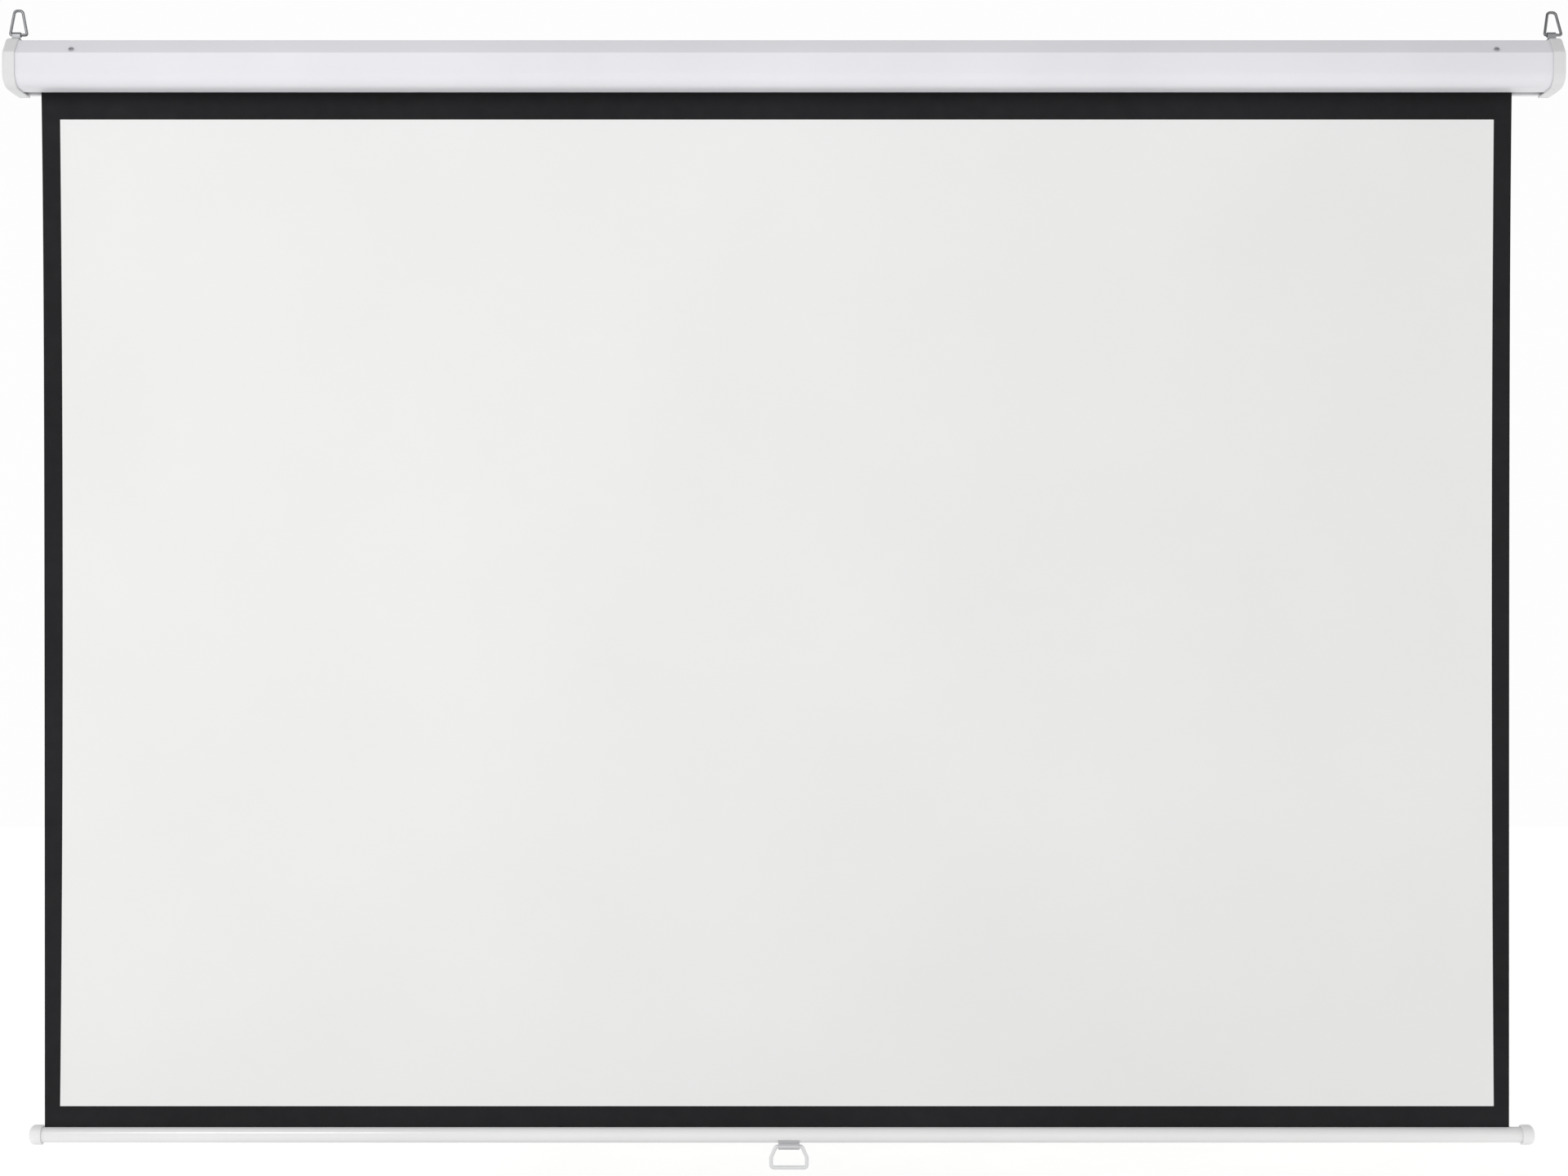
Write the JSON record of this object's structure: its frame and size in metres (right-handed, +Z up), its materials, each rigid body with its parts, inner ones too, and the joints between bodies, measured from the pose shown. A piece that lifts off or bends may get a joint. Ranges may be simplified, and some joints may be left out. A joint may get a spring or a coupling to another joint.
{
  "type": "projection screen",
  "caption": "Wide pull-down projection screen: steel case with end caps and hanging rings, spring roller, black-bordered white sheet, weight bar and pull handle.",
  "frame": {"origin": "centre of the case's flat back face, where it lies on the wall", "axes": "+X to the viewer's right along the case, +Y into the wall, +Z up"},
  "size_m": [2.1864, 0.0705, 1.6372],
  "materials": {
    "white_enamel": "smooth satin white enamel",
    "white_plastic": "moulded white plastic, fine satin grain",
    "zinc_steel": "zinc plated sheet steel",
    "saddle_steel": "dull grey pressed steel",
    "screw_steel": "plated steel",
    "bright_wire": "bright plated wire",
    "spring_steel": "oiled spring wire",
    "grey_plastic": "moulded grey plastic",
    "nylon": "natural nylon",
    "screen_sheet": "matt white coated sheet with a black border",
    "black_cloth": "matt black coated sheet",
    "handle_plastic": "pale grey moulded plastic"
  },
  "bodies": {
    "root": {"case_shell": "white_enamel", "right_end_cap": "white_plastic", "left_end_cap": "white_plastic", "right_end_bracket": "zinc_steel", "left_end_bracket": "zinc_steel", "right_case_screw": "screw_steel", "left_case_screw": "screw_steel", "right_cap_screw_upper": "screw_steel", "right_cap_screw_lower": "screw_steel", "left_cap_screw_upper": "screw_steel", "left_cap_screw_lower": "screw_steel", "right_ring_strap": "zinc_steel", "left_ring_strap": "zinc_steel", "right_strap_screw": "screw_steel", "left_strap_screw": "screw_steel", "idle_bush": "nylon", "ratchet_wheel": "screw_steel", "spring_spindle": "zinc_steel", "spring_anchor_hub": "grey_plastic", "torsion_spring": "spring_steel", "screen_fabric": "screen_sheet"},
    "left_ring": {"left_hanging_ring": "bright_wire"},
    "right_ring": {"right_hanging_ring": "bright_wire"},
    "roller": {"roller_tube": "zinc_steel", "wound_leader": "black_cloth", "idle_end_plug": "grey_plastic", "roller_head": "grey_plastic", "spindle_bush": "nylon", "drive_plug": "grey_plastic"},
    "upper_pawl": {"upper_pawl": "screw_steel"},
    "lower_pawl": {"lower_pawl": "screw_steel"},
    "bar": {"fabric_hem": "black_cloth", "hem_rod": "zinc_steel", "weight_bar": "white_enamel", "right_bar_cap": "white_plastic", "left_bar_cap": "white_plastic", "handle_saddle": "saddle_steel", "left_saddle_rivet": "screw_steel", "right_saddle_rivet": "screw_steel"},
    "handle": {"pull_handle": "handle_plastic"}
  },
  "joints": [
    {"name": "screen_travel", "type": "slide", "parent": "root", "child": "bar", "axis": [0, 0, 1], "range_m": [0, 1.459], "deforming": ["screen_fabric"]},
    {"name": "roller_spin", "type": "hinge", "parent": "root", "child": "roller", "pos_m": [0, -0.037, 0.002], "axis": [1, 0, 0], "range_deg": [0, 3781]},
    {"name": "upper_pawl_swing", "type": "hinge", "parent": "roller", "child": "upper_pawl", "pos_m": [1.065, -0.037, 0.0195], "axis": [1, 0, 0], "range_deg": [0, 22]},
    {"name": "lower_pawl_swing", "type": "hinge", "parent": "roller", "child": "lower_pawl", "pos_m": [1.065, -0.037, -0.0155], "axis": [1, 0, 0], "range_deg": [0, 22]},
    {"name": "handle_swing", "type": "hinge", "parent": "bar", "child": "handle", "pos_m": [0.007, -0.0165, -1.5247], "axis": [1, 0, 0], "range_deg": [-85, 85]},
    {"name": "left_ring_swing", "type": "hinge", "parent": "root", "child": "left_ring", "pos_m": [-1.0769, -0.038, 0.0443], "axis": [1, 0, 0], "range_deg": [-90, 90]},
    {"name": "right_ring_swing", "type": "hinge", "parent": "root", "child": "right_ring", "pos_m": [1.0821, -0.038, 0.0443], "axis": [1, 0, 0], "range_deg": [-78, 102]}
  ],
  "couplings": [
    {"joint": "roller_spin", "follows": "screen_travel", "rad_per_m": 45.218}
  ]
}
